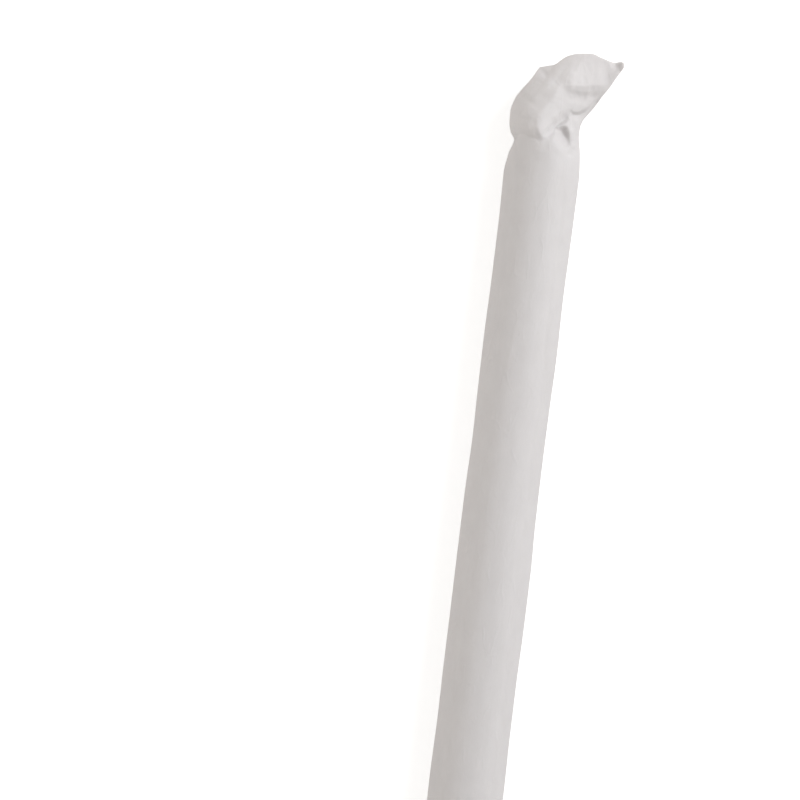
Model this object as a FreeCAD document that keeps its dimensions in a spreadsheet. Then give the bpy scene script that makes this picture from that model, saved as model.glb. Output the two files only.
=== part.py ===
# A wrapped paper drinking straw, lying as it comes to rest.
# A wide spiral-wound paper tube, cut slantwise at its top end, lies inside a thin paper sleeve.
# The sleeve is one piece of paper: it is loose round the straw, pressed flat at the bottom end,
# and bent over, crumpled and pinched shut at the top end.
# Frame: the straw runs along Y with its top end towards +Y. Z is up, and X is to the right of
# someone who looks down on it. The origin is on the surface that it rests on, under the middle
# of the straw. All lengths are in millimetres.

import FreeCAD, Part
import math
import os
import Sketcher
from FreeCAD import Vector

# Driving sizes: alias, value, meaning.
SIZES = (
    ("straw_dia", 12.0, "outer diameter of the straw"),
    ("straw_wall", 0.5, "wall of the straw, three plies glued together"),
    ("straw_length", 230.0, "length of the straw along its long side"),
    ("cut_drop", 11.0, "how much shorter the straw is on its short side"),
    ("paper_thick", 0.1, "thickness of the sleeve's paper"),
    ("rest_gap", 0.1, "clearance under the straw, and over it"),
    ("side_room", 3.6, "free width inside the sleeve beside the straw, both sides together"),
    ("foot_width", 5.0, "width of the flat strip that the sleeve lies on"),
    ("flat_width", 21.4, "width of the sleeve where it is pressed flat"),
    ("tail_slope", 14.0, "length over which the sleeve closes at the bottom end"),
    ("seal_length", 8.0, "length of the flat seal at the bottom end"),
    ("tip_reach", 16.2, "how far the sleeve reaches past the straw's point at the top end"),
)

COLUMN_COUNT = 20  # facets across each of the sleeve's two sheets
SECTION_POWER = 2.2  # power of the section's curve: 1 is straight from crown to side fold
HOLD_POWER = 5.0  # how close to the side folds the other folds reach
DRAPE_REACH = 4.0  # how far past the straw's slanted cut the paper still leans on it
GAP_RATIO = 1.0  # the least room between the two sheets where they aren't pressed, in sheets
FOLD_POWER = 1.3  # power of a fold's flanks: 1 is straight, more is hollowed
SLANT_RATIO = 0.75  # how much earlier the sleeve's fall past the straw starts further right


def make_sheet(doc):
    """The spreadsheet with the driving sizes, one alias to a row."""
    sheet = doc.addObject("Spreadsheet::Sheet", "sizes")
    for row, (alias, value, meaning) in enumerate(SIZES, start=1):
        sheet.set(f"A{row}", alias)
        sheet.set(f"B{row}", str(value))
        sheet.set(f"C{row}", meaning)
        sheet.setAlias(f"B{row}", alias)
    doc.recompute()
    return sheet


def origin_plane(body, role):
    """One of the body's own origin planes."""
    return next(plane for plane in body.Origin.OriginFeatures if plane.Role == role)


def new_sketch(body, name, role):
    """An empty sketch on one of the body's origin planes."""
    sketch = body.newObject("Sketcher::SketchObject", name)
    sketch.AttachmentSupport = (origin_plane(body, role), [""])
    sketch.MapMode = "FlatFace"
    return sketch


def bind(sketch, kind, geometry, expression, name):
    """A named dimension whose value is an expression in the driving sizes."""
    number = sketch.addConstraint(Sketcher.Constraint(kind, *geometry, 1.0))
    sketch.renameConstraint(number, name)
    sketch.setExpression(f"Constraints.{name}", expression)


def make_straw(doc, size):
    """The straw: a ring pulled out along Y to both sides, then cut slantwise at the top end."""
    radius, end = size["straw_dia"] / 2, size["straw_length"] / 2
    body = doc.addObject("PartDesign::Body", "paper_straw")
    ring = new_sketch(body, "ring", "XZ_Plane")
    for drawn in (radius, radius - size["straw_wall"]):
        ring.addGeometry(Part.Circle(Vector(0, radius, 0), Vector(0, 0, 1), drawn), False)
    ring.addConstraint(Sketcher.Constraint("Coincident", 0, 3, 1, 3))
    ring.addConstraint(Sketcher.Constraint("PointOnObject", 0, 3, -2))
    bind(ring, "Radius", (0,), "sizes.straw_dia / 2", "outer_radius")
    bind(ring, "Radius", (1,), "sizes.straw_dia / 2 - sizes.straw_wall", "inner_radius")
    bind(ring, "DistanceY", (-1, 1, 0, 3),
         "sizes.paper_thick + sizes.rest_gap + sizes.straw_dia / 2", "axis_height")
    tube = body.newObject("PartDesign::Pad", "tube")
    tube.Profile = ring
    tube.SideType = "Symmetric"
    tube.setExpression("Length", "sizes.straw_length")
    doc.recompute()
    uncut = tube.Shape.Volume

    # The cut is a triangle seen from above: its long side is the slant, and passes through the
    # straw's point on the left and ends lower down on the right.
    cut = new_sketch(body, "slant", "XY_Plane")
    corners = (Vector(-radius, end, 0), Vector(radius, end - size["cut_drop"], 0),
               Vector(radius, end, 0))
    for number, corner in enumerate(corners):
        cut.addGeometry(Part.LineSegment(corner, corners[(number + 1) % 3]), False)
    for number in range(3):
        cut.addConstraint(Sketcher.Constraint("Coincident", number, 2, (number + 1) % 3, 1))
    cut.addConstraint(Sketcher.Constraint("Vertical", 1))
    cut.addConstraint(Sketcher.Constraint("Horizontal", 2))
    bind(cut, "DistanceX", (0, 1, -1, 1), "sizes.straw_dia / 2", "point_side")
    bind(cut, "DistanceX", (-1, 1, 0, 2), "sizes.straw_dia / 2", "short_side")
    bind(cut, "DistanceY", (-1, 1, 0, 1), "sizes.straw_length / 2", "point_height")
    bind(cut, "DistanceY", (0, 2, 0, 1), "sizes.cut_drop", "drop")
    slant = body.newObject("PartDesign::Pocket", "slant_cut")
    slant.Profile = cut
    slant.SideType = "Symmetric"
    slant.setExpression("Length", "4 * sizes.straw_dia")
    doc.recompute()
    if not slant.Shape.Volume < uncut:
        raise RuntimeError("the slanted cut removed nothing")
    return body


class Sleeve:
    """Where the sleeve's paper runs, worked out from the driving sizes.

    The sleeve is a flattened tube: an upper and a lower sheet that meet at a left and a right
    side fold. It is described by rows, from the bottom end's cut edge to the top end's. Each
    row runs from the left fold to the right fold, and its rise is how far the sheets stand
    apart there, as a share of that on the straw."""

    # The crumpled top end. Places are (across, along): across in half widths of the sleeve from
    # its middle line, along in tip reaches past the straw's point.
    LEFT_FOLD_SHARES = (
        (-1.00, -0.68), (-0.93, -0.40), (-0.83, -0.23), (-0.95, -0.125), (-1.01, 0.00),
        (-1.02, 0.14), (-0.94, 0.30), (-0.79, 0.43), (-0.63, 0.54), (-0.52, 0.63),
        (-0.45, 0.70), (-0.39, 0.745),
    )
    RIGHT_FOLD_SHARES = (
        (1.00, -0.68), (0.95, -0.34), (0.90, -0.19), (0.86, -0.08), (0.86, 0.02),
        (0.91, 0.12), (1.03, 0.21), (1.18, 0.32), (1.34, 0.46), (1.51, 0.59),
        (1.65, 0.72), (1.83, 0.875),
    )
    # The rise of each of those rows.
    RISE_SHARES = (1.00, 1.00, 0.97, 0.91, 0.82, 0.72, 0.61, 0.50, 0.39, 0.27, 0.12, 0.0)
    # How far each row's middle bows out towards the top end, as a share of the cut edge's bow.
    BOW_SHARES = (0.0, 0.0, 0.0, 0.0, 0.0, 0.1, 0.2, 0.35, 0.5, 0.65, 0.85, 1.0)
    # The cut edge, from left to right: the share across, its bow in tip reaches, and its wave in
    # half heights.
    EDGE_SHARES = (
        (0.00, 0.000, -0.14), (0.08, 0.014, -0.07), (0.17, 0.030, 0.02), (0.23, 0.080, 0.08),
        (0.31, 0.140, 0.13), (0.41, 0.168, 0.17), (0.51, 0.174, 0.17), (0.61, 0.168, 0.07),
        (0.70, 0.128, -0.02), (0.77, 0.098, -0.07), (0.83, 0.073, -0.10), (0.88, 0.060, -0.10),
        (0.95, 0.067, -0.05), (0.99, 0.048, -0.01), (1.00, 0.000, 0.00),
    )
    # The bottom end: share of the slope where each row lies, from the seal to the straw.
    TAIL_SHARES = (0.0, 0.25, 0.5, 0.75, 1.0)

    # Folds in the crumpled end: the line of its crest or valley, its height in half heights,
    # and its reach to the left and right of the line in half widths.
    FOLD_SHARES = (
        # the long ridge from the straw's point to the cut edge
        (((0.04, -0.17), (-0.10, -0.17), (-0.23, -0.10), (-0.31, 0.03), (-0.25, 0.15),
          (-0.02, 0.36), (0.30, 0.63)), 0.19, 0.62, 0.60),
        # the edge of that ridge's foot
        (((-0.38, 0.10), (-0.29, -0.12), (0.08, -0.18)), -0.05, 0.12, 0.30),
        # the curved valley to the right of the foot
        (((0.03, -0.18), (0.20, -0.01), (0.60, 0.17)), -0.16, 0.24, 0.12),
        # the pocket on the inner side of the bend, and the strip that closes it
        (((0.30, 0.02), (0.51, -0.14), (0.67, -0.25)), -0.29, 0.24, 0.30),
        (((0.58, 0.03), (0.69, -0.26)), 0.15, 0.15, 0.22),
        # the sharp crease where the sleeve bends over
        (((0.58, 0.20), (0.78, 0.19), (1.15, 0.35)), -0.18, 0.08, 0.24),
        # the brow of the bulge across the bent end, and the soft valley under it
        (((0.14, 0.50), (0.80, 0.57), (1.52, 0.64)), 0.17, 0.75, 0.34),
        (((0.34, 0.44), (1.30, 0.47)), -0.05, 0.14, 0.26),
        # the dip beside the outer corner
        (((1.50, 0.98), (1.68, 0.80)), -0.09, 0.22, 0.20),
        # the hollow to the left of the long ridge
        (((-0.46, 0.18), (-0.12, 0.42)), -0.04, 0.25, 0.25),
        # the faint dent down the left side of the straw
        (((-0.48, 0.02), (-0.51, -0.60), (-0.56, -3.50)), -0.045, 0.30, 0.30),
    )

    def __init__(self, size):
        self.size = size
        self.half_width = size["straw_dia"] / 2 + size["side_room"] / 2 + size["paper_thick"]
        self.half_height = size["straw_dia"] / 2 + size["rest_gap"] + size["paper_thick"]
        self.point = size["straw_length"] / 2
        self.least_gap = GAP_RATIO * size["paper_thick"]

    def tip_place(self, place):
        """A place in the crumpled end, in millimetres."""
        across, along = place
        return across * self.half_width, self.point + along * self.size["tip_reach"]

    def tail_rows(self):
        """The bottom end's rows: cut edge, pressed seal, and the slope up to the straw."""
        size = self.size
        straw_end = -size["straw_length"] / 2 - size["rest_gap"]
        seal_start = straw_end - size["tail_slope"]
        pressed = size["flat_width"] / 2
        places = [(seal_start - size["seal_length"], 0.0)]
        places += [(seal_start + share * size["tail_slope"], share) for share in self.TAIL_SHARES]
        found = []
        for along, share in places:
            rise = math.sin(share * math.pi / 2)
            half = math.sqrt(pressed ** 2 + (self.half_width ** 2 - pressed ** 2) * rise ** 2)
            found.append({
                "left": (-half, along), "right": (half, along), "rise": rise, "slant": 0.0,
                "foot": rise, "bow": 0.0, "wave": 0.0, "together": 0.0,
            })
        return found

    def tip_rows(self):
        """The crumpled top end's rows, from the straw to the cut edge."""
        last = len(self.LEFT_FOLD_SHARES) - 1
        found = []
        for number, ends in enumerate(zip(self.LEFT_FOLD_SHARES, self.RIGHT_FOLD_SHARES)):
            left, right = (self.tip_place(end) for end in ends)
            share = number / last
            found.append({
                "left": left, "right": right, "rise": self.RISE_SHARES[number],
                "slant": SLANT_RATIO * (1 - share ** 2), "foot": max(0.0, 1 - 3 * share),
                "bow": self.BOW_SHARES[number], "wave": self.BOW_SHARES[number] ** 2,
                "together": share ** 2,
            })
        return found

    def rows(self):
        """All the rows, and the curve of their rises along the sleeve."""
        found = self.tail_rows() + self.tip_rows()
        for row in found:
            row["centre"] = (row["left"][1] + row["right"][1]) / 2
        return found, [(row["centre"], row["rise"]) for row in found]

    def fold_height(self, x, y):
        """How far the folds lift the upper sheet at a place, seen from above."""
        lift = 0.0
        for line, height, reach_left, reach_right in self.FOLD_SHARES:
            distance, side, share = nearest_on_line([self.tip_place(p) for p in line], x, y)
            turned = side / distance if distance else 0.0
            reach = (reach_left + reach_right) / 2 + (reach_left - reach_right) / 2 * turned
            reach *= self.half_width
            if distance < reach:
                fade = min(1.0, 4 * min(share, 1 - share) + 0.25)
                slope = (1 - distance / reach) ** FOLD_POWER
                lift += height * self.half_height * fade * slope
        return lift

    def straw_room(self, x, y):
        """How far both sheets stand from the straw's axis height at a place, at least."""
        radius = self.size["straw_dia"] / 2
        cut = self.point - self.size["cut_drop"] * (x + radius) / (2 * radius)
        past = max(0.0, (y - cut) / DRAPE_REACH)
        if y < -self.point or past > 1 or abs(x) > self.half_height:
            return 0.0
        return math.sqrt(self.half_height ** 2 - x ** 2) * (1 - past ** 2)

    def outside(self, row, rises, pressed):
        """A row's corners on the outside, from left to right: places, upper and lower heights."""
        size = self.size
        thick = size["paper_thick"]
        (left_x, left_y), (right_x, right_y) = row["left"], row["right"]
        width = math.hypot(right_x - left_x, right_y - left_y)
        foot = row["foot"] * size["foot_width"] / width
        places, upper, lower = [], [], []
        for column in range(COLUMN_COUNT + 1):
            share = column / COLUMN_COUNT
            bow, wave = stepped(self.EDGE_SHARES, share)
            x = left_x + (right_x - left_x) * share
            y = left_y + (right_y - left_y) * share + row["bow"] * bow * size["tip_reach"]
            across = abs(2 * share - 1)
            beyond = max(0.0, across - foot) / (1 - foot)
            high, low = 1 - across ** SECTION_POWER, 1 - beyond ** SECTION_POWER
            held = row["together"] + (1 - row["together"]) * (1 - across ** HOLD_POWER)
            rise = stepped(rises, row["centre"] + row["slant"] * x)[0]
            room = (self.half_height - thick) * rise
            middle = self.half_height * (1 + row["wave"] * wave)
            fold = self.fold_height(x, y)
            under = middle + row["together"] * fold - thick - room * low
            over = middle + held * fold + thick + room * high
            straw_room = self.straw_room(x, y)
            if straw_room:
                over = max(over, self.half_height + straw_room)
                under = min(under, self.half_height - straw_room)
            if 0 < column < COLUMN_COUNT:
                over = max(over, under + 2 * thick + (0.0 if pressed else self.least_gap))
            places.append((x, y))
            upper.append((share * width, over))
            lower.append((share * width, under))
        return places, upper, lower

    def rings(self, row, rises, pressed):
        """A row's closed ring of corners on the outside, and the one round the hollow."""
        thick = self.size["paper_thick"]
        places, upper, lower = self.outside(row, rises, pressed)
        width = upper[-1][0]
        (left_x, left_y), (right_x, right_y) = row["left"], row["right"]
        step = ((right_x - left_x) / width, (right_y - left_y) / width)
        outer, inner = [], []
        for sheet, side in ((upper, 1), (lower, -1)):
            inside = moved_aside(sheet, side * thick)
            for number, end in ((0, thick), (COLUMN_COUNT, width - thick)):
                height = (upper[number][1] + lower[number][1] + side * self.least_gap / 2) / 2
                inside.insert(number, (end, height))
            numbers = list(range(COLUMN_COUNT + 1))[::side]
            for number in numbers:
                x, y = places[number]
                slid = inside[number][0] - sheet[number][0]
                outer.append(Vector(x, y, sheet[number][1]))
                inner.append(Vector(x + slid * step[0], y + slid * step[1], inside[number][1]))
        return outer, inner

    def solid(self):
        """The sleeve's paper: its outside, less the hollow between its two pressed ends."""
        rows, rises = self.rows()
        outer, inner = [], []
        for number, row in enumerate(rows):
            pressed = number in (0, len(rows) - 1)
            ring, hollow = self.rings(row, rises, pressed)
            outer.append(ring)
            if not pressed:
                inner.append(hollow)
        return closed_tube(outer).cut(closed_tube(inner))


def moved_aside(line, distance):
    """The corners between a line's ends, moved to the right of its run by a distance."""
    moved = []
    for before, here, after in zip(line, line[1:], line[2:]):
        headings = []
        for start, end in ((before, here), (here, after)):
            length = math.dist(start, end)
            headings.append(((end[0] - start[0]) / length, (end[1] - start[1]) / length))
        (a, b), (c, d) = headings
        scale = distance / (1 + a * c + b * d)
        moved.append((here[0] + (b + d) * scale, here[1] - (a + c) * scale))
    return moved


def stepped(table, place):
    """The other values of a table at a place in its first column, in straight steps."""
    place = min(max(place, table[0][0]), table[-1][0])
    for before, after in zip(table, table[1:]):
        if place <= after[0]:
            break
    part = (place - before[0]) / (after[0] - before[0])
    return [low + (high - low) * part for low, high in zip(before[1:], after[1:])]


def nearest_on_line(points, x, y):
    """The distance from a place to a line, how far it lies to the line's left, and the share
    along the line."""
    lengths = [math.dist(a, b) for a, b in zip(points, points[1:])]
    best = None
    walked = 0.0
    for (a, b), length in zip(zip(points, points[1:]), lengths):
        step = ((b[0] - a[0]) / length, (b[1] - a[1]) / length)
        offset = (x - a[0], y - a[1])
        along = min(max(offset[0] * step[0] + offset[1] * step[1], 0.0), length)
        distance = math.hypot(offset[0] - along * step[0], offset[1] - along * step[1])
        if best is None or distance < best[0]:
            side = step[0] * offset[1] - step[1] * offset[0]
            best = (distance, side, (walked + along) / sum(lengths))
        walked += length
    return best


def closed_tube(rings):
    """A solid from closed rings of corners, with a cap of flat strips at both ends."""
    around = len(rings[0])
    corners = [corner for ring in rings for corner in ring]
    facets = []
    for start in range(0, len(corners) - around, around):
        for column in range(around):
            a = start + column
            b = start + (column + 1) % around
            facets += [(a, b, b + around), (a, b + around, a + around)]
    for start, turned in ((0, True), (len(corners) - around, False)):
        for column in range(around // 2 - 1):
            a, b = start + column, start + column + 1
            c, d = start + around - 2 - column, start + around - 1 - column
            for facet in ((a, b, c), (a, c, d)):
                facets.append(facet[::-1] if turned else facet)
    surface = Part.Shape()
    surface.makeShapeFromMesh((corners, facets), 1e-6)
    solid = Part.makeSolid(Part.makeShell(surface.Faces))
    if solid.Volume < 0:
        solid.reverse()
    return solid.removeSplitter()


def make_wrapper(doc, size):
    """The sleeve of thin paper, one closed piece with the straw inside."""
    wrapper = doc.addObject("Part::Feature", "paper_wrapper")
    wrapper.Shape = Sleeve(size).solid()
    wrapper.Placement = FreeCAD.Placement()
    return wrapper


def main():
    doc = FreeCAD.newDocument("wrapped_straw")
    sheet = make_sheet(doc)
    size = {alias: float(sheet.get(alias)) for alias, _, _ in SIZES}
    pieces = [make_straw(doc, size), make_wrapper(doc, size)]
    doc.recompute()
    for item in doc.Objects:
        if {"Invalid", "Error"} & set(item.State):
            raise RuntimeError(f"{item.Name} failed")
    os.makedirs("parts", exist_ok=True)
    for piece in pieces:
        shape = piece.Shape
        if shape.isNull() or not shape.isValid():
            raise RuntimeError(f"{piece.Label} has no valid shape")
        shape.exportStep(f"parts/{piece.Label}.step")
        print(piece.Label, len(shape.Solids), "solid", len(shape.Faces), "faces",
              round(shape.Volume, 1), "mm3", shape.BoundBox)


main()
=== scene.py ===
"""A wrapped paper drinking straw, lying on a pale floor and seen from straight above.

The straw and its sleeve replace their nodes with finer meshes of the same form. Their forms are
worked out in millimetres, and turned into metres when a mesh is made.
"""

import math

import bmesh
import bpy
import numpy as np
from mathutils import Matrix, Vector


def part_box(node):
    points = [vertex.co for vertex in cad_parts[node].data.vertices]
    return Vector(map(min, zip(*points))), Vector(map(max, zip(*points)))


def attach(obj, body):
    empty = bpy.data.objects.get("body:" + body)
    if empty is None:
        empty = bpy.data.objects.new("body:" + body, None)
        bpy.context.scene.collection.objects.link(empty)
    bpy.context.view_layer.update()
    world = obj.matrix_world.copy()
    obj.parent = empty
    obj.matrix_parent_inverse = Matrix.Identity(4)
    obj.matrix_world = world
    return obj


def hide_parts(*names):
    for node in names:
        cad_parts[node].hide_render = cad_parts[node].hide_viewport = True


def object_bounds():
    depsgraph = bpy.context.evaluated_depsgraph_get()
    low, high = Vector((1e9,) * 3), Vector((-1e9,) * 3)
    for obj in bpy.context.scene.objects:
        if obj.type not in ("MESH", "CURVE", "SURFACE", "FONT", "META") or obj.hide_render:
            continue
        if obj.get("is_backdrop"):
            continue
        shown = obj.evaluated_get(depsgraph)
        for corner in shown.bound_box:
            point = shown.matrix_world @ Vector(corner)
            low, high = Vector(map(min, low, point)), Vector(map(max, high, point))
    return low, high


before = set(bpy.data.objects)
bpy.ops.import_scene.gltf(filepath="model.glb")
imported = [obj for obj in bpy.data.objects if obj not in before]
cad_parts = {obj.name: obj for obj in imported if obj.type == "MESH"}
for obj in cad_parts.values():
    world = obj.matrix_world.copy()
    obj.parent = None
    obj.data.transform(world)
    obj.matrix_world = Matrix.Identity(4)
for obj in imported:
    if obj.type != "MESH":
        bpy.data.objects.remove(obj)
cad_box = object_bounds()

MM = 0.001
TINY = 1e-9  # keeps a division by a distance clear of zero

# The photograph's frame, and where the straw lies in it.
IMAGE_PIXELS = 800
PIXELS_PER_MM = 4.8
LEAN_DEGREES = 7.0  # the straw leans to the right of upright
AXIS_PIXEL = (544.5, 150.0)  # the straw's axis crosses this pixel
AXIS_PIXEL_ALONG = 110.0  # at this place along the straw, in mm
CAMERA_HEIGHT = 2.0  # above the straw's axis, in metres
SENSOR_MM = 36.0

# The straw, in mm: a tube wound from bands of paper, with a fine groove where they meet.
STRAW_LOW, STRAW_HIGH = (np.array(corner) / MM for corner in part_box("paper_straw"))
STRAW_RADIUS = (STRAW_HIGH[0] - STRAW_LOW[0]) / 2
STRAW_START, STRAW_POINT = STRAW_LOW[1], STRAW_HIGH[1]
AXIS_HEIGHT = (STRAW_HIGH[2] + STRAW_LOW[2]) / 2
STRAW_WALL = 0.5
CUT_DROP = 11.0  # how much lower its slanted cut ends on the right
PLIES = 3
BAND_PITCH = 22.0  # along the straw, from one turn of a band to the next
BAND_ROWS = 10
STRAW_COLUMNS = 96
GROOVE_DEPTH = 0.08
# The groove's section: places across it in mm, and shares of its depth.
GROOVE = ((-0.30, 0.0), (-0.12, 0.7), (0.0, 1.0), (0.12, 0.7), (0.30, 0.0))
CUT_TOLERANCE = 1e-5

# The sleeve, in mm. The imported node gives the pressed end's half width and its place.
PAPER_THICK = 0.1
SIDE_ROOM = 3.6  # its hollow is wider than the straw by this much
FOOT_WIDTH = 5.0  # the flattened strip that it rests on
TAIL_SLOPE = 14.0  # from the pressed end up to its full height
TIP_REACH = 16.2  # how far it reaches past the straw's point
LEAST_GAP = 0.1  # between its two sheets
EDGE_GAP = 0.025  # half of what is left of that gap in the side folds
HALF_WIDTH = STRAW_RADIUS + SIDE_ROOM / 2 + PAPER_THICK
REST_GAP = AXIS_HEIGHT - STRAW_RADIUS - PAPER_THICK
SEAL_LEFT, TAIL_END = (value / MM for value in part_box("paper_wrapper")[0][:2])
SEAL_HALF_WIDTH = -SEAL_LEFT
SECTION_POWER = 2.2  # power of the section's curve: 1 is straight from crown to side fold
HOLD_POWER = 5.0  # how close to the side folds the other folds reach
DRAPE_REACH = 4.0  # how far past the straw's slanted cut the paper still leans on it
SLANT = 0.75  # its fall starts this much lower for each mm to the right, beside that cut
SEAM_SHARE = 0.22  # where the seam's free edge runs, from the left fold to the right one
SEAM_EDGE_SHARE = 0.0015  # the width of the step at that edge
WANDER_PITCH = 11.0  # the side folds along the straw wander inwards and back over this length
WANDER = 0.35  # by this much at most
SHEET_COLUMNS = 72
TIP_PITCH = 0.2
BODY_PITCH = 2.0
TAIL_PITCH = 0.6

# The key rows between the pressed end and the straw's start, as shares of the slope.
TAIL_ROWS = (0.0, 0.25, 0.5, 0.75, 1.0)

# The crumpled end's key rows. Places are (across, along): across in half widths of the sleeve
# from its middle line, along in tip reaches past the straw's point.
LEFT_FOLD = (
    (-1.00, -0.68), (-0.93, -0.40), (-0.83, -0.23), (-0.95, -0.125), (-1.01, 0.00),
    (-1.02, 0.14), (-0.94, 0.30), (-0.79, 0.43), (-0.63, 0.54), (-0.52, 0.63),
    (-0.45, 0.70), (-0.39, 0.745),
)
RIGHT_FOLD = (
    (1.00, -0.68), (0.95, -0.34), (0.90, -0.19), (0.86, -0.08), (0.86, 0.02),
    (0.91, 0.12), (1.03, 0.21), (1.18, 0.32), (1.34, 0.46), (1.51, 0.59),
    (1.65, 0.72), (1.83, 0.875),
)
TIP_RISE = (1.00, 1.00, 0.97, 0.91, 0.82, 0.72, 0.61, 0.50, 0.39, 0.27, 0.12, 0.0)
TIP_BOW = (0.0, 0.0, 0.0, 0.0, 0.0, 0.1, 0.2, 0.35, 0.5, 0.65, 0.85, 1.0)
FOOT_FADE = 3  # the foot is gone after the first third of these rows
# The cut edge, from left to right: the share across, its bow in tip reaches, and its wave in
# half heights.
EDGE = (
    (0.00, 0.000, -0.14), (0.08, 0.014, -0.07), (0.17, 0.030, 0.02), (0.23, 0.080, 0.08),
    (0.31, 0.140, 0.13), (0.41, 0.168, 0.17), (0.51, 0.174, 0.17), (0.61, 0.168, 0.07),
    (0.70, 0.128, -0.02), (0.77, 0.098, -0.07), (0.83, 0.073, -0.10), (0.88, 0.060, -0.10),
    (0.95, 0.067, -0.05), (0.99, 0.048, -0.01), (1.00, 0.000, 0.00),
)

# Folds: the line of a crest or valley, its height in half heights, its reach to the left and
# to the right of the line in half widths, and how crisp its crease is, from 0 to 1.
FOLDS = {
    "long_ridge": (((0.04, -0.17), (-0.10, -0.17), (-0.23, -0.10), (-0.31, -0.01), (-0.31, 0.08),
                    (-0.25, 0.15), (-0.15, 0.23), (0.02, 0.38), (0.22, 0.55), (0.30, 0.63)),
                   0.19, 0.62, 0.60, 0.65),
    "upper_ridge": (((0.22, 0.55), (0.38, 0.70), (0.49, 0.79), (0.58, 0.92)),
                    0.02, 0.30, 0.45, 0.4),
    "ridge_foot": (((-0.38, 0.10), (-0.38, -0.02), (-0.29, -0.12), (-0.11, -0.21), (0.08, -0.18)),
                   -0.05, 0.12, 0.30, 0.5),
    "arc_valley": (((0.03, -0.18), (0.11, -0.10), (0.20, -0.01), (0.32, 0.07), (0.48, 0.13),
                    (0.60, 0.17)), -0.17, 0.24, 0.13, 0.9),
    "pocket": (((0.30, 0.02), (0.38, -0.06), (0.51, -0.14), (0.67, -0.25)),
               -0.29, 0.24, 0.30, 0.5),
    "pocket_ridge": (((0.58, 0.03), (0.63, -0.12), (0.69, -0.26)), 0.15, 0.15, 0.22, 0.8),
    "pocket_lip": (((0.20, -0.03), (0.32, 0.02), (0.46, 0.03), (0.62, 0.01)),
                   0.06, 0.22, 0.10, 0.9),
    "low_crease": (((0.62, -0.36), (0.82, -0.23)), -0.06, 0.10, 0.16, 0.8),
    "bend_crease": (((0.58, 0.20), (0.67, 0.18), (0.78, 0.19), (0.89, 0.22), (1.02, 0.27),
                     (1.15, 0.35), (1.30, 0.46)), -0.20, 0.09, 0.26, 1.0),
    "bulge_brow": (((0.20, 0.51), (0.40, 0.545), (0.80, 0.57), (1.10, 0.595), (1.52, 0.64)),
                   0.17, 0.75, 0.34, 0.9),
    "under_brow": (((0.34, 0.44), (0.80, 0.43), (1.30, 0.47)), -0.05, 0.14, 0.26, 0.3),
    "corner_dip": (((1.55, 0.98), (1.62, 0.90), (1.70, 0.80)), -0.09, 0.16, 0.20, 0.4),
    "left_corner": (((-0.38, 0.73), (-0.24, 0.67), (-0.15, 0.60)), -0.025, 0.10, 0.12, 0.6),
    "left_rim": (((-0.86, 0.36), (-0.62, 0.54), (-0.40, 0.72)), 0.13, 0.15, 0.75, 0.2),
    "left_hollow": (((-0.46, 0.18), (-0.28, 0.30), (-0.12, 0.42)), -0.04, 0.25, 0.25, 0.2),
    "shoulder_crest": (((-0.74, 0.10), (-0.50, 0.10), (-0.38, 0.11)), 0.015, 0.14, 0.10, 0.6),
    "notch_crease": (((-0.84, -0.23), (-0.67, -0.17), (-0.50, -0.13)), -0.03, 0.14, 0.14, 0.6),
    "streak": (((-0.48, 0.02), (-0.52, -0.12), (-0.51, -0.60), (-0.50, -1.40), (-0.56, -3.50)),
               -0.045, 0.30, 0.30, 0.1),
}
CREASE_RADIUS = 0.13  # in mm
CREASE_POWER = 1.4  # how steeply a crisp crease falls beside its line
END_HEIGHT = 0.25  # what is left of a fold's height at both ends
END_FADE = 0.25  # the share of its length over which it sinks to that
FLAT_RISE = 0.25  # slight folds fade where the sleeve has less than this share of its height

# Slight folds by chance. A pair is the least and the most that a draw gives. Places, heights and
# reaches are in the units of the tables above, and none starts past its last place along.
CRUMPLE_SEED = 7
TIP_CREASES = 34
TIP_CREASE = {"along": (-0.30, 0.85), "across": (-0.85, 0.80), "length": (0.10, 0.26),
              "bend": (-0.2, 0.2), "reach": (0.06, 0.18), "height": (0.010, 0.030),
              "widening": (0.8, 1.6), "crisp": (0.8, 1.0)}
TIP_DRIFT = 0.9  # how far the creases' middle moves to the right, for each tip reach
TIP_EVENING = 0.5  # makes a crease as long along as across, because a tip reach is longer
BODY_CREASES = 44
BODY_CREASE = {"last": -1.0, "across": (0.35, 0.85), "length": (0.4, 2.4), "drift": (-0.25, 0.25),
               "reach": (0.07, 0.22), "height": (0.010, 0.034), "widening": (0.8, 1.6),
               "crisp": (0.5, 1.0)}
BODY_DENTS = 18
BODY_DENT = {"last": -1.5, "across": (0.55, 0.9), "length": (0.3, 1.2),
             "reach": (0.2, 0.35), "depth": (0.04, 0.09), "crisp": 0.3}
DENT_LEAN = 0.9  # a dent ends at this share of the place across where it starts
TAIL_CREASES = 9
TAIL_CREASE = {"place": (0.25, 0.75), "length": (0.5, 1.1), "reach": (0.12, 0.2),
               "height": (0.02, 0.05), "crisp": (0.3, 0.8)}
TAIL_SPREAD = 0.95  # the gathers lie this far across at most, to both sides
# Where a gather starts and turns: its spread, and its place along from the straw's start.
GATHER_START = (1.35, -0.87)
GATHER_TURN = (1.15, -0.45)

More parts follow.
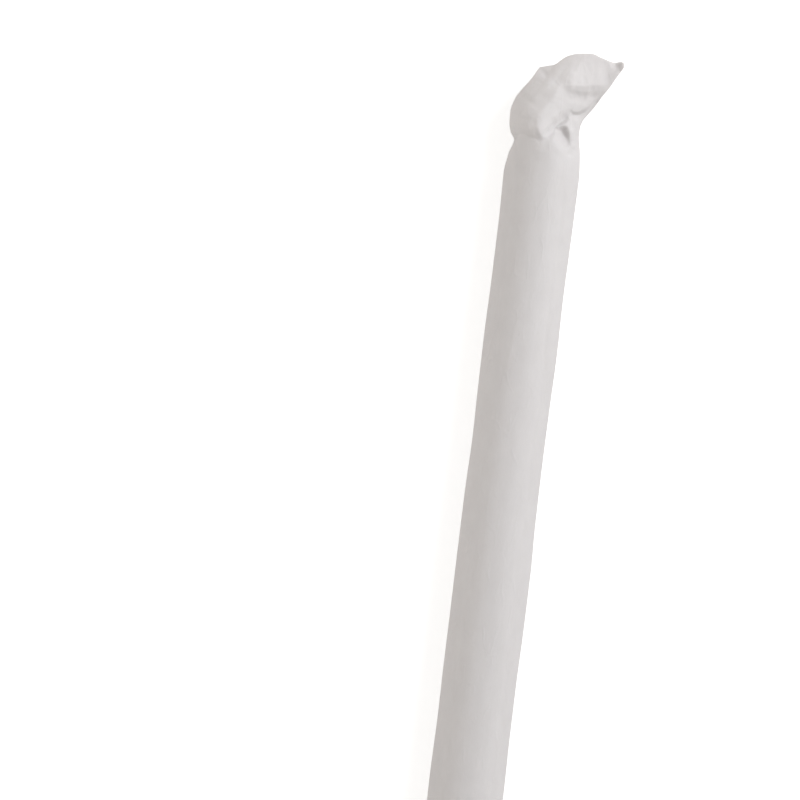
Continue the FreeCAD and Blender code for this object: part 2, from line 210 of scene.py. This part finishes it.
# The papers' surfaces. A pair is what a colour or a roughness goes between.
SLEEVE_TONES = ((0.796, 0.788, 0.806), (0.824, 0.818, 0.836))
SLEEVE_SPECKLE = ((0.965, 0.96, 0.955), (1.0, 1.0, 1.0))
SLEEVE_THROUGH = (0.90, 0.86, 0.82)
THROUGH_SHARE = 0.35
SLEEVE_ROUGHNESS = (0.52, 0.70)
CREASE_CELLS = (0.3, 0.13, 0.3)  # flat places between fine crease lines, in each mm
CREASE_STRAY = 0.5  # how far the crease lines stray, against the size of those places
CREASE_STRAY_SCALE = 1.3  # how fine their straying is, against those places
CREASE_LINE = 0.10  # the half width of a crease line, against those places
STRAW_TONES = ((0.79, 0.78, 0.76), (0.84, 0.83, 0.81))
STRAW_ROUGHNESS = (0.70, 0.88)
GLUE_TINTS = ((0.86, 0.84, 0.80), (1.0, 1.0, 1.0))
GLUE_LINE = 0.03  # in mm

# The studio, in metres. A lamp has its offset to the right, upwards and outwards in the
# photograph from the crumpled end, its power, its size and its colour.
FLOOR_SIZE = 6.0
FLOOR_COLOR = (0.8, 0.8, 0.8)
FLOOR_GLOW = 0.55
LAMP_TARGET_HEIGHT = 0.006
LAMPS = {
    "key": ((0.60, 0.30, 0.50), 5.2, 0.45, (0.98, 0.99, 1.0)),
    "rim": ((-0.80, 0.05, 0.14), 2.1, 0.4, (1.0, 0.955, 0.89)),
}
SOFT_LIGHT = 0.505
SOFT_LIGHT_COLOR = (1.0, 0.98, 0.95)
WHITE = (1, 1, 1)


def smooth_curve(knots, values, places):
    """A smooth curve through (knot, value) pairs that doesn't overshoot them."""
    knots, values = np.asarray(knots, float), np.asarray(values, float)
    steps = np.diff(knots)
    slopes = np.diff(values) / steps
    tangents = np.zeros_like(values)
    tangents[0], tangents[-1] = slopes[0], slopes[-1]
    for n in range(1, len(values) - 1):
        before, after = slopes[n - 1], slopes[n]
        if before * after > 0:
            near, far = 2 * steps[n] + steps[n - 1], steps[n] + 2 * steps[n - 1]
            tangents[n] = (near + far) / (near / before + far / after)
    n = np.clip(np.searchsorted(knots, places, side="right") - 1, 0, len(steps) - 1)
    t = (places - knots[n]) / steps[n]
    start, end = values[n], values[n + 1]
    leave, arrive = tangents[n] * steps[n], tangents[n + 1] * steps[n]
    return (start * (1 + 2 * t) * (1 - t) ** 2 + leave * t * (1 - t) ** 2
            + end * t * t * (3 - 2 * t) + arrive * t * t * (t - 1))


def smooth_line(points, count=40):
    """A smooth line of many points through a few."""
    points = np.asarray(points, float)
    walked = np.concatenate(([0], np.cumsum(np.hypot(*np.diff(points, axis=0).T))))
    places = np.linspace(0, walked[-1], count)
    return np.column_stack([smooth_curve(walked, points[:, axis], places) for axis in (0, 1)])


def from_line(line, x, y):
    """Distance from places to a line, how far they are to its left, and the share along it."""
    steps = np.diff(line, axis=0)
    lengths = np.hypot(*steps.T)
    best = np.full(x.shape, np.inf)
    side, share = np.zeros(x.shape), np.zeros(x.shape)
    walked = 0.0
    for (start_x, start_y), (dx, dy), length in zip(line, steps / lengths[:, None], lengths):
        ox, oy = x - start_x, y - start_y
        along = np.clip(ox * dx + oy * dy, 0, length)
        distance = np.hypot(ox - along * dx, oy - along * dy)
        nearer = distance < best
        best = np.where(nearer, distance, best)
        side = np.where(nearer, dx * oy - dy * ox, side)
        share = np.where(nearer, (walked + along) / lengths.sum(), share)
        walked += length
    return best, side, share


def fold_lift(line, height, reach_left, reach_right, crisp, x, y):
    """How far one fold lifts the paper at places: a crest if height is positive."""
    distance, side, share = from_line(line, x, y)
    turned = side / np.maximum(distance, TINY)
    reach = (reach_left + reach_right) / 2 + (reach_left - reach_right) / 2 * turned
    rounded = np.hypot(distance, CREASE_RADIUS) - CREASE_RADIUS
    t = np.clip(rounded / (reach - CREASE_RADIUS), 0, 1)
    sharp = (1 - t) ** CREASE_POWER
    soft = (1 - t * t) ** 2
    fade = np.minimum(1, np.minimum(share, 1 - share) / END_FADE)
    ends = END_HEIGHT + (1 - END_HEIGHT) * fade * fade * (3 - 2 * fade)
    return height * ends * (crisp * sharp + (1 - crisp) * soft)


def tip_place(across, along):
    """A place in the crumpled end's units, in millimetres."""
    return across * HALF_WIDTH, STRAW_POINT + along * TIP_REACH


def crumples(folds, x, y):
    """The lift of the upper sheet's folds at places."""
    lift = np.zeros(x.shape)
    for line, height, left, right, crisp in folds:
        line = smooth_line([tip_place(*point) for point in line])
        lift += fold_lift(line, height * AXIS_HEIGHT, left * HALF_WIDTH,
                          right * HALF_WIDTH, crisp, x, y)
    return lift


def slight_crease(chance, line, reach, ranges):
    """A slight crest or valley along a line, with a reach of its own to the right."""
    height = chance.choice((-1, 1)) * chance.uniform(*ranges["height"])
    reach_right = reach * chance.uniform(*ranges["widening"])
    return line, height, reach, reach_right, chance.uniform(*ranges["crisp"])


def tip_creases(chance):
    """Short creases in all directions in the crumpled end."""
    for _ in range(TIP_CREASES):
        along = chance.uniform(*TIP_CREASE["along"])
        across = chance.uniform(*TIP_CREASE["across"]) + max(0.0, along) * TIP_DRIFT
        heading = chance.uniform(0, math.pi)
        length = chance.uniform(*TIP_CREASE["length"])
        step = np.array((math.cos(heading), TIP_EVENING * math.sin(heading))) * length
        middle = np.array((across, along))
        bend = chance.uniform(*TIP_CREASE["bend"]) * length
        line = (middle - step, middle + (bend, bend), middle + step)
        yield slight_crease(chance, line, chance.uniform(*TIP_CREASE["reach"]), TIP_CREASE)


def body_creases(chance, start_of_body):
    """Long slight creases down the body, along its sides."""
    for _ in range(BODY_CREASES):
        start = chance.uniform(start_of_body, BODY_CREASE["last"])
        across = chance.choice((-1, 1)) * chance.uniform(*BODY_CREASE["across"])
        length = chance.uniform(*BODY_CREASE["length"])
        drift = chance.uniform(*BODY_CREASE["drift"])
        line = ((across, start), (across + drift / 2, start + length / 2),
                (across + drift, start + length))
        yield slight_crease(chance, line, chance.uniform(*BODY_CREASE["reach"]), BODY_CREASE)


def body_dents(chance, start_of_body):
    """Shallow dents down the body, near its side folds."""
    for _ in range(BODY_DENTS):
        start = chance.uniform(start_of_body, BODY_DENT["last"])
        across = chance.choice((-1, 1)) * chance.uniform(*BODY_DENT["across"])
        length = chance.uniform(*BODY_DENT["length"])
        line = ((across, start), (across * DENT_LEAN, start + length))
        reach = chance.uniform(*BODY_DENT["reach"])
        yield line, -chance.uniform(*BODY_DENT["depth"]), reach, reach, BODY_DENT["crisp"]


def tail_gathers(chance, start_of_body):
    """Gathers side by side, where the paper closes to the pressed end."""
    for number in range(TAIL_CREASES):
        place = (number + chance.uniform(*TAIL_CREASE["place"])) / TAIL_CREASES
        across = -TAIL_SPREAD + 2 * TAIL_SPREAD * place
        start, turn = start_of_body + GATHER_START[1], start_of_body + GATHER_TURN[1]
        length = chance.uniform(*TAIL_CREASE["length"])
        line = ((across * GATHER_START[0], start), (across * GATHER_TURN[0], turn),
                (across, start + length))
        reach = chance.uniform(*TAIL_CREASE["reach"])
        height = chance.uniform(*TAIL_CREASE["height"])
        yield line, height, reach, reach, chance.uniform(*TAIL_CREASE["crisp"])


def slight_folds():
    """All the slight folds that are placed by chance."""
    chance = np.random.default_rng(CRUMPLE_SEED)
    start_of_body = (STRAW_START - STRAW_POINT) / TIP_REACH
    folds = list(tip_creases(chance))
    folds += body_creases(chance, start_of_body)
    folds += body_dents(chance, start_of_body)
    folds += tail_gathers(chance, start_of_body)
    return folds


def wander(centre, number):
    """How far a side fold strays inwards along the straw."""
    start, end = STRAW_START, tip_place(*LEFT_FOLD[0])[1]
    knots = np.linspace(start, end, round((end - start) / WANDER_PITCH))
    strays = np.random.default_rng(CRUMPLE_SEED + number).uniform(0, WANDER, len(knots))
    strays[[0, -1]] = 0
    return smooth_curve(knots, strays, np.clip(centre, start, end))


def key_rows():
    """The key rows' places along the sleeve, and their measures.

    A row's measures are the places of its left and right fold, its rise as a share of the full
    height, its foot, its shares of the cut edge's bow and wave, and how far the lower sheet takes
    part in the upper one's folds.
    """
    seal_start = STRAW_START - REST_GAP - TAIL_SLOPE
    rows = [(-SEAL_HALF_WIDTH, TAIL_END, SEAL_HALF_WIDTH, TAIL_END, 0, 0, 0, 0, 0)]
    narrowing = HALF_WIDTH ** 2 - SEAL_HALF_WIDTH ** 2
    for share in TAIL_ROWS:
        along = seal_start + share * TAIL_SLOPE
        rise = math.sin(share * math.pi / 2)
        half = math.sqrt(SEAL_HALF_WIDTH ** 2 + narrowing * rise ** 2)
        rows.append((-half, along, half, along, rise, rise, 0, 0, 0))
    last = len(LEFT_FOLD) - 1
    for n, (left, right) in enumerate(zip(LEFT_FOLD, RIGHT_FOLD)):
        share = n / last
        foot = max(0.0, 1 - FOOT_FADE * share)
        rows.append((*tip_place(*left), *tip_place(*right), TIP_RISE[n], foot,
                     TIP_BOW[n], TIP_BOW[n] ** 2, share ** 2))
    measures = np.array(rows)
    return (measures[:, 1] + measures[:, 3]) / 2, measures


def fine_rows(knots):
    """The places of the fine rows along the sleeve, and where the crumpled end starts."""
    tip_start = knots[len(TAIL_ROWS) + 1]
    stretches = ((TAIL_END, STRAW_START, TAIL_PITCH), (STRAW_START, tip_start, BODY_PITCH),
                 (tip_start, knots[-1], TIP_PITCH))
    places = [np.linspace(start, end, round((end - start) / pitch), endpoint=False)
              for start, end, pitch in stretches]
    return np.concatenate(places + [knots[-1:]])[:, None], tip_start


def column_shares():
    """The shares across of the sleeve's columns, with two more at the seam's free edge."""
    columns = np.arange(SHEET_COLUMNS + 1) / SHEET_COLUMNS
    return np.sort(np.append(columns, (SEAM_SHARE, SEAM_SHARE + SEAM_EDGE_SHARE)))


def rise_at(knots, rises, centre, x, tip_start):
    """The share of its full height that the sleeve has at places.

    The paper sinks where the straw's slanted cut ends, so its fall starts lower on the right.
    """
    into_tip = np.clip((centre - tip_start) / (knots[-1] - tip_start), 0, 1)
    near_tip = np.clip((centre - tip_start) / HALF_WIDTH + 1, 0, 1)
    slanted = centre + SLANT * x * near_tip * (1 - into_tip ** 2)
    return smooth_curve(knots, rises, np.clip(slanted, knots[0], knots[-1]))


def clear_of_straw(x, y, over, under):
    """The sheets' heights, kept clear of the straw up to its slanted cut and a little past it."""
    cut = STRAW_POINT - CUT_DROP * (x + STRAW_RADIUS) / (2 * STRAW_RADIUS)
    past = np.clip((y - cut) / DRAPE_REACH, 0, 1)
    leaning = np.sqrt(np.maximum(0, AXIS_HEIGHT ** 2 - x ** 2)) * (1 - past ** 2)
    leans = (y > STRAW_START) & (past < 1) & (np.abs(x) < AXIS_HEIGHT)
    leaning = np.where(leans, leaning, -AXIS_HEIGHT)
    return np.maximum(over, AXIS_HEIGHT + leaning), np.minimum(under, AXIS_HEIGHT - leaning)


def sheets():
    """The sleeve's outside corners: x, y, and the upper and lower sheets' heights."""
    knots, measures = key_rows()
    centre, tip_start = fine_rows(knots)
    left_x, left_y, right_x, right_y, _, foot, bow, wave, together = (
        smooth_curve(knots, measure, centre) for measure in measures.T)
    left_x, right_x = left_x + wander(centre, 1), right_x - wander(centre, 2)
    width = np.hypot(right_x - left_x, right_y - left_y)
    share = column_shares() + np.zeros(centre.shape)
    x = left_x + (right_x - left_x) * share
    y = left_y + (right_y - left_y) * share
    edge_shares, edge_bow, edge_wave = zip(*EDGE)
    y = y + bow * smooth_curve(edge_shares, edge_bow, share) * TIP_REACH
    middle = AXIS_HEIGHT + wave * smooth_curve(edge_shares, edge_wave, share) * AXIS_HEIGHT

    across = np.abs(2 * share - 1)
    foot = foot * FOOT_WIDTH / width
    beyond = np.maximum(0, across - foot) / (1 - foot)
    high, low = 1 - across ** SECTION_POWER, 1 - beyond ** SECTION_POWER
    rise = rise_at(knots, measures[:, 4], centre, x, tip_start)
    room = (AXIS_HEIGHT - PAPER_THICK) * rise

    fold = crumples(FOLDS.values(), x, y)
    fold += crumples(slight_folds(), x, y) * np.clip(rise / FLAT_RISE, 0, 1)
    under = middle + together * fold - PAPER_THICK - room * low
    # The lap comes down by a sheet's thickness from the left fold to the seam's free edge.
    under -= PAPER_THICK * rise * share / SEAM_SHARE * (share <= SEAM_SHARE)
    held = together + (1 - together) * (1 - across ** HOLD_POWER)
    over = middle + held * fold + PAPER_THICK + room * high
    gap = np.full(over.shape, 2 * PAPER_THICK)
    gap[1:-1, 1:-1] += LEAST_GAP
    over[:, 1:-1] = np.maximum(over, under + gap)[:, 1:-1]
    over, under = clear_of_straw(x, y, over, under)
    return x, y, over, under


def moved_aside(along, height, distance):
    """How far each corner of each row moves when the row's line is set inwards."""
    run, rise = np.diff(along, axis=1), np.diff(height, axis=1)
    length = np.hypot(run, rise)
    run, rise = run / length, rise / length
    before, after = (run[:, :-1], rise[:, :-1]), (run[:, 1:], rise[:, 1:])
    scale = distance / (1 + before[0] * after[0] + before[1] * after[1])
    slid, sunk = np.zeros(along.shape), np.zeros(along.shape)
    slid[:, 1:-1] = (before[1] + after[1]) * scale
    sunk[:, 1:-1] = -(before[0] + after[0]) * scale
    return slid, sunk


def sleeve_rings():
    """Closed rings of corners, on the outside and round the hollow, as (row, corner, axis)."""
    x, y, over, under = sheets()
    step = np.stack([x[:, -1] - x[:, 0], y[:, -1] - y[:, 0]], axis=1)
    step = step / np.hypot(*step.T)[:, None]
    along = (x - x[:, :1]) * step[:, :1] + (y - y[:, :1]) * step[:, 1:]
    outer, inner = [], []
    for height, side in ((over, 1), (under, -1)):
        slid, sunk = moved_aside(along, height, side * PAPER_THICK)
        slid[:, 0], slid[:, -1] = PAPER_THICK, -PAPER_THICK
        for edge in (0, -1):
            middle = (over[:, edge] + under[:, edge]) / 2
            sunk[:, edge] = middle + side * EDGE_GAP - height[:, edge]
        outer.append(np.stack([x, y, height], axis=2)[:, ::side])
        inner.append(np.stack([x + slid * step[:, :1], y + slid * step[:, 1:],
                               height + sunk], axis=2)[:, ::side])
    return np.concatenate(outer, axis=1), np.concatenate(inner, axis=1)[1:-1]


def tube_faces(rows, around, first, inwards=False):
    """Faces of a closed tube of rings, with a strip of caps at both ends."""
    faces = []
    for row in range(rows - 1):
        for n in range(around):
            a, b = first + row * around + n, first + row * around + (n + 1) % around
            faces.append((a, b, b + around, a + around))
    for start, turned in ((first, True), (first + (rows - 1) * around, False)):
        for n in range(around // 2 - 1):
            face = (start + n, start + n + 1, start + around - 2 - n, start + around - 1 - n)
            faces.append(face[::-1] if turned else face)
    return [face[::-1] for face in faces] if inwards else faces


def make_piece(name, mesh, material, crease_degrees):
    """An object of a mesh, shaded smooth except at its sharp edges."""
    mesh.shade_smooth()
    mesh.set_sharp_from_angle(angle=math.radians(crease_degrees))
    mesh.materials.append(material)
    piece = bpy.data.objects.new(name, mesh)
    bpy.context.collection.objects.link(piece)
    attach(piece, "root")
    return piece


def make_wrapper():
    """The sleeve: one thin sheet of paper, with its outside and its hollow."""
    outer, inner = sleeve_rings()
    corners = np.concatenate([outer.reshape(-1, 3), inner.reshape(-1, 3)])
    around = outer.shape[1]
    faces = tube_faces(outer.shape[0], around, 0)
    faces += tube_faces(inner.shape[0], around, outer.shape[0] * around, inwards=True)
    mesh = bpy.data.meshes.new("sleeve")
    mesh.from_pydata((corners * MM).tolist(), [], faces)
    piece = make_piece("sleeve", mesh, wrapper_paper(), crease_degrees=50)
    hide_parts("paper_wrapper")


def band_rows():
    """One paper band's rows: their places across it from its groove, and their depths."""
    first, last = GROOVE[0][0], GROOVE[-1][0]
    step = (BAND_PITCH - last + first) / BAND_ROWS
    groove = [(place, depth * GROOVE_DEPTH) for place, depth in GROOVE]
    return groove + [(last + step * (n + 1), 0.0) for n in range(BAND_ROWS - 1)]


def spiral_tube(tube, radius, grooved):
    """A tube along Y whose rows follow the paper bands. It overshoots both ends."""
    band = band_rows()
    first = math.floor(STRAW_START / BAND_PITCH) - 2
    last = math.ceil(STRAW_POINT / BAND_PITCH) + 1
    rows = []
    for turn in range(first, last + 1):
        for offset, depth in band:
            out = radius - (depth if grooved else 0.0)
            row = []
            for column in range(STRAW_COLUMNS):
                part = column / STRAW_COLUMNS
                angle = 2 * math.pi * part
                row.append(tube.verts.new((out * math.sin(angle),
                                           (turn + part) * BAND_PITCH + offset,
                                           AXIS_HEIGHT + out * math.cos(angle))))
            rows.append(row)
    for low in range(len(rows) - len(band) - 1):
        for column in range(STRAW_COLUMNS):
            wraps = column + 1 == STRAW_COLUMNS
            beside, shift = (0, len(band)) if wraps else (column + 1, 0)
            corners = (rows[low][column], rows[low + shift][beside],
                       rows[low + 1 + shift][beside], rows[low + 1][column])
            tube.faces.new(corners if grooved else corners[::-1])


def cut_off(tube, place, outwards):
    """Cuts both walls of the straw with a plane, and closes the wall's end there."""
    geometry = tube.verts[:] + tube.edges[:] + tube.faces[:]
    cut = bmesh.ops.bisect_plane(tube, geom=geometry, dist=CUT_TOLERANCE, plane_co=place,
                                 plane_no=outwards, clear_outer=True)
    rim = [item for item in cut["geom_cut"] if isinstance(item, bmesh.types.BMEdge)]
    bmesh.ops.triangle_fill(tube, edges=rim, use_beauty=True, normal=outwards)


def make_straw():
    """The straw: a wound paper tube with its bands' groove, cut slantwise at its top end."""
    tube = bmesh.new()
    spiral_tube(tube, STRAW_RADIUS, grooved=True)
    spiral_tube(tube, STRAW_RADIUS - STRAW_WALL, grooved=False)
    cut_off(tube, (0, STRAW_START, 0), Vector((0, -1, 0)))
    slanted = Vector((CUT_DROP, 2 * STRAW_RADIUS, 0)).normalized()
    cut_off(tube, (-STRAW_RADIUS, STRAW_POINT, 0), slanted)
    bmesh.ops.scale(tube, vec=(MM, MM, MM), verts=tube.verts)
    mesh = bpy.data.meshes.new("straw")
    tube.to_mesh(mesh)
    tube.free()
    straw = make_piece("straw", mesh, straw_paper(), crease_degrees=60)
    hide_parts("paper_straw")


def new_material(name):
    """An empty node material: its nodes, its links and its output."""
    material = bpy.data.materials.new(name)
    material.use_nodes = True
    nodes, links = material.node_tree.nodes, material.node_tree.links
    nodes.clear()
    return material, nodes, links, nodes.new("ShaderNodeOutputMaterial")


def object_places(nodes, links, scale, location=(0, 0, 0)):
    """Places in the object's own coordinates, scaled and moved."""
    place = nodes.new("ShaderNodeTexCoord")
    mapping = nodes.new("ShaderNodeMapping")
    mapping.inputs["Location"].default_value = location
    mapping.inputs["Scale"].default_value = scale
    links.new(place.outputs["Object"], mapping.inputs["Vector"])
    return mapping.outputs["Vector"]


def noise(nodes, links, stretch, scale, detail=3.0, roughness=0.55):
    """Noise in the object's own millimetres. stretch scales its X, Y and Z."""
    texture = nodes.new("ShaderNodeTexNoise")
    texture.inputs["Scale"].default_value = scale
    texture.inputs["Detail"].default_value = detail
    texture.inputs["Roughness"].default_value = roughness
    place = object_places(nodes, links, scale=[value / MM for value in stretch])
    links.new(place, texture.inputs["Vector"])
    return texture.outputs["Fac"]


def between(nodes, links, source, low, high, start=0.3, end=0.7):
    """A number or a colour that goes from low to high as a source goes from start to end."""
    if isinstance(low, tuple):
        ramp = nodes.new("ShaderNodeValToRGB")
        for element, place, color in zip(ramp.color_ramp.elements, (start, end), (low, high)):
            element.position = place
            element.color = (*color, 1)
        links.new(source, ramp.inputs["Fac"])
        return ramp.outputs["Color"]
    spread = nodes.new("ShaderNodeMapRange")
    for socket, value in zip(("From Min", "From Max", "To Min", "To Max"),
                             (start, end, low, high)):
        spread.inputs[socket].default_value = value
    links.new(source, spread.inputs["Value"])
    return spread.outputs["Result"]


def combined(nodes, links, operation, first, second):
    """A number worked out from two others."""
    node = nodes.new("ShaderNodeMath")
    node.operation = operation
    links.new(first, node.inputs[0])
    links.new(second, node.inputs[1])
    return node.outputs[0]


def multiplied(nodes, links, first, second):
    """The product of two colours."""
    product = nodes.new("ShaderNodeMix")
    product.data_type, product.blend_type = "RGBA", "MULTIPLY"
    product.inputs["Factor"].default_value = 1.0
    links.new(first, product.inputs["A"])
    links.new(second, product.inputs["B"])
    return product.outputs["Result"]


def creases(nodes, links):
    """A height with fine crease lines between flat places, stronger in some patches."""
    place = object_places(nodes, links, scale=[value / MM for value in CREASE_CELLS])
    warp = nodes.new("ShaderNodeTexNoise")
    warp.inputs["Scale"].default_value = CREASE_STRAY_SCALE
    strayed = nodes.new("ShaderNodeVectorMath")
    strayed.operation = "MULTIPLY_ADD"
    strayed.inputs[1].default_value = (CREASE_STRAY, CREASE_STRAY, CREASE_STRAY)
    cells = nodes.new("ShaderNodeTexVoronoi")
    cells.feature = "DISTANCE_TO_EDGE"
    cells.inputs["Scale"].default_value = 1.0
    links.new(place, warp.inputs["Vector"])
    links.new(warp.outputs["Color"], strayed.inputs[0])
    links.new(place, strayed.inputs[2])
    links.new(strayed.outputs["Vector"], cells.inputs["Vector"])
    line = between(nodes, links, cells.outputs["Distance"], 1.0, 0.0,
                   start=0.0, end=CREASE_LINE)
    patches = noise(nodes, links, stretch=(1, 0.5, 1), scale=0.4, detail=2.0)
    amount = between(nodes, links, patches, 0.0, 1.0, start=0.45, end=0.65)
    return combined(nodes, links, "MULTIPLY", line, amount)


def bump(nodes, links, height, depth_mm, before=None):
    """A bump of a depth in millimetres, on top of another one."""
    node = nodes.new("ShaderNodeBump")
    node.inputs["Distance"].default_value = depth_mm * MM
    links.new(height, node.inputs["Height"])
    if before is not None:
        links.new(before, node.inputs["Normal"])
    return node.outputs["Normal"]


def wrapper_paper():
    """Thin white paper that lets some light through, with its clouds, fibres and cockle."""
    material, nodes, links, output = new_material("wrapper_paper")
    clouds = noise(nodes, links, stretch=(1, 0.6, 1), scale=0.45, detail=4.0)
    fibres = noise(nodes, links, stretch=(1, 0.22, 1), scale=5.0, detail=5.0, roughness=0.7)
    cockle = noise(nodes, links, stretch=(1, 0.6, 1), scale=0.4, detail=1.0)
    surface = nodes.new("ShaderNodeBsdfPrincipled")
    surface.inputs["Specular IOR Level"].default_value = 0.35
    tone = between(nodes, links, clouds, *SLEEVE_TONES)
    speckle = between(nodes, links, fibres, *SLEEVE_SPECKLE)
    links.new(multiplied(nodes, links, tone, speckle), surface.inputs["Base Color"])
    links.new(between(nodes, links, fibres, *SLEEVE_ROUGHNESS), surface.inputs["Roughness"])
    grain = bump(nodes, links, cockle, depth_mm=0.05)
    grain = bump(nodes, links, creases(nodes, links), depth_mm=0.045, before=grain)
    grain = bump(nodes, links, fibres, depth_mm=0.016, before=grain)
    links.new(grain, surface.inputs["Normal"])
    through = nodes.new("ShaderNodeBsdfTranslucent")
    through.inputs["Color"].default_value = (*SLEEVE_THROUGH, 1)
    links.new(grain, through.inputs["Normal"])
    mix = nodes.new("ShaderNodeMixShader")
    mix.inputs["Fac"].default_value = THROUGH_SHARE
    links.new(surface.outputs["BSDF"], mix.inputs[1])
    links.new(through.outputs["BSDF"], mix.inputs[2])
    links.new(mix.outputs["Shader"], output.inputs["Surface"])
    return material


def ply_lines(nodes, links):
    """The tint of the glue lines between the straw's plies, by the distance from its axis."""
    place = object_places(nodes, links, scale=(1, 0, 1),
                          location=(0, 0, -AXIS_HEIGHT * MM))
    distance = nodes.new("ShaderNodeVectorMath")
    distance.operation = "LENGTH"
    links.new(place, distance.inputs[0])
    plies = nodes.new("ShaderNodeMath")
    plies.operation = "PINGPONG"
    plies.inputs[1].default_value = STRAW_WALL * MM / PLIES / 2
    links.new(distance.outputs["Value"], plies.inputs[0])
    return between(nodes, links, plies.outputs[0], *GLUE_TINTS, start=0.0, end=GLUE_LINE * MM)


def straw_paper():
    """The straw's thicker white paper: its clouds and fibres, and its plies at the ends."""
    material, nodes, links, output = new_material("straw_paper")
    fibres = noise(nodes, links, stretch=(1, 0.4, 1), scale=3.5, detail=5.0, roughness=0.7)
    clouds = noise(nodes, links, stretch=(1, 1, 1), scale=0.35)
    surface = nodes.new("ShaderNodeBsdfPrincipled")
    tone = between(nodes, links, clouds, *STRAW_TONES)
    tinted = multiplied(nodes, links, tone, ply_lines(nodes, links))
    links.new(tinted, surface.inputs["Base Color"])
    links.new(between(nodes, links, fibres, *STRAW_ROUGHNESS), surface.inputs["Roughness"])
    links.new(bump(nodes, links, fibres, depth_mm=0.02), surface.inputs["Normal"])
    links.new(surface.outputs["BSDF"], output.inputs["Surface"])
    return material


def background_rays(nodes, links):
    """1 for rays that show the background: to the camera, off gloss or through clear things."""
    path = nodes.new("ShaderNodeLightPath")
    shown = path.outputs["Is Camera Ray"]
    for kind in ("Is Glossy Ray", "Is Transmission Ray"):
        shown = combined(nodes, links, "MAXIMUM", shown, path.outputs[kind])
    return shown


def make_floor():
    """A wide pale floor that looks white to the camera and keeps the object's shadow."""
    bpy.ops.mesh.primitive_plane_add(size=FLOOR_SIZE, location=(0, 0, 0))
    floor = bpy.context.object
    floor.name = "floor"
    material, nodes, links, output = new_material("floor")
    shade = nodes.new("ShaderNodeBsdfDiffuse")
    shade.inputs["Color"].default_value = (*FLOOR_COLOR, 1)
    glow = nodes.new("ShaderNodeEmission")
    glow.inputs["Strength"].default_value = FLOOR_GLOW
    both = nodes.new("ShaderNodeAddShader")
    choose = nodes.new("ShaderNodeMixShader")
    links.new(shade.outputs["BSDF"], both.inputs[0])
    links.new(glow.outputs["Emission"], both.inputs[1])
    links.new(background_rays(nodes, links), choose.inputs["Fac"])
    links.new(shade.outputs["BSDF"], choose.inputs[1])
    links.new(both.outputs["Shader"], choose.inputs[2])
    links.new(choose.outputs["Shader"], output.inputs["Surface"])
    floor.data.materials.append(material)
    floor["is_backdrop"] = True


def photo_axes():
    """The photograph's right and up directions, and its centre, on the floor in metres."""
    lean = math.radians(LEAN_DEGREES)
    right = Vector((math.cos(lean), math.sin(lean), 0))
    up = Vector((-math.sin(lean), math.cos(lean), 0))
    across = (IMAGE_PIXELS / 2 - AXIS_PIXEL[0]) / PIXELS_PER_MM * MM
    upwards = (AXIS_PIXEL[1] - IMAGE_PIXELS / 2) / PIXELS_PER_MM * MM
    centre = Vector((0, AXIS_PIXEL_ALONG * MM, 0)) + right * across + up * upwards
    return right, up, centre


def make_camera():
    """A camera that looks straight down, with the photograph's frame at the straw's axis."""
    _, _, centre = photo_axes()
    data = bpy.data.cameras.new("camera")
    data.sensor_width = SENSOR_MM
    data.lens = SENSOR_MM * CAMERA_HEIGHT / (IMAGE_PIXELS / PIXELS_PER_MM * MM)
    camera = bpy.data.objects.new("camera", data)
    camera.location = centre + Vector((0, 0, AXIS_HEIGHT * MM + CAMERA_HEIGHT))
    camera.rotation_euler = (0, 0, math.radians(LEAN_DEGREES))
    bpy.context.collection.objects.link(camera)
    bpy.context.scene.camera = camera


def make_lamp(name, towards, power, size, color):
    """A square lamp that shines on the crumpled end. towards is (right, up, out) in the photo."""
    right, up, _ = photo_axes()
    target = Vector((0, AXIS_PIXEL_ALONG * MM, LAMP_TARGET_HEIGHT))
    data = bpy.data.lights.new(name, "AREA")
    data.energy = power
    data.size = size
    data.color = color
    lamp = bpy.data.objects.new(name, data)
    offset = right * towards[0] + up * towards[1] + Vector((0, 0, towards[2]))
    lamp.location = target + offset
    lamp.rotation_euler = (-offset).to_track_quat("-Z", "Y").to_euler()
    bpy.context.collection.objects.link(lamp)


def make_world():
    """Even light from all round, and a white background where it shows."""
    world = bpy.data.worlds.new("studio")
    bpy.context.scene.world = world
    world.use_nodes = True
    nodes, links = world.node_tree.nodes, world.node_tree.links
    nodes.clear()
    output = nodes.new("ShaderNodeOutputWorld")
    choose = nodes.new("ShaderNodeMixShader")
    soft, white = (nodes.new("ShaderNodeBackground") for _ in range(2))
    for shade, tint, power in ((soft, SOFT_LIGHT_COLOR, SOFT_LIGHT), (white, WHITE, 1.0)):
        shade.inputs["Color"].default_value = (*tint, 1)
        shade.inputs["Strength"].default_value = power
    links.new(background_rays(nodes, links), choose.inputs["Fac"])
    links.new(soft.outputs["Background"], choose.inputs[1])
    links.new(white.outputs["Background"], choose.inputs[2])
    links.new(choose.outputs["Shader"], output.inputs["Surface"])


make_wrapper()
make_straw()

make_floor()
make_camera()
for lamp_name, lamp_values in LAMPS.items():
    make_lamp(lamp_name, *lamp_values)
make_world()
bpy.context.scene.view_settings.view_transform = "Standard"

boxes = {"cad": cad_box, "visual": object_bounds()}
{name: [list(corner) for corner in box] for name, box in boxes.items()}
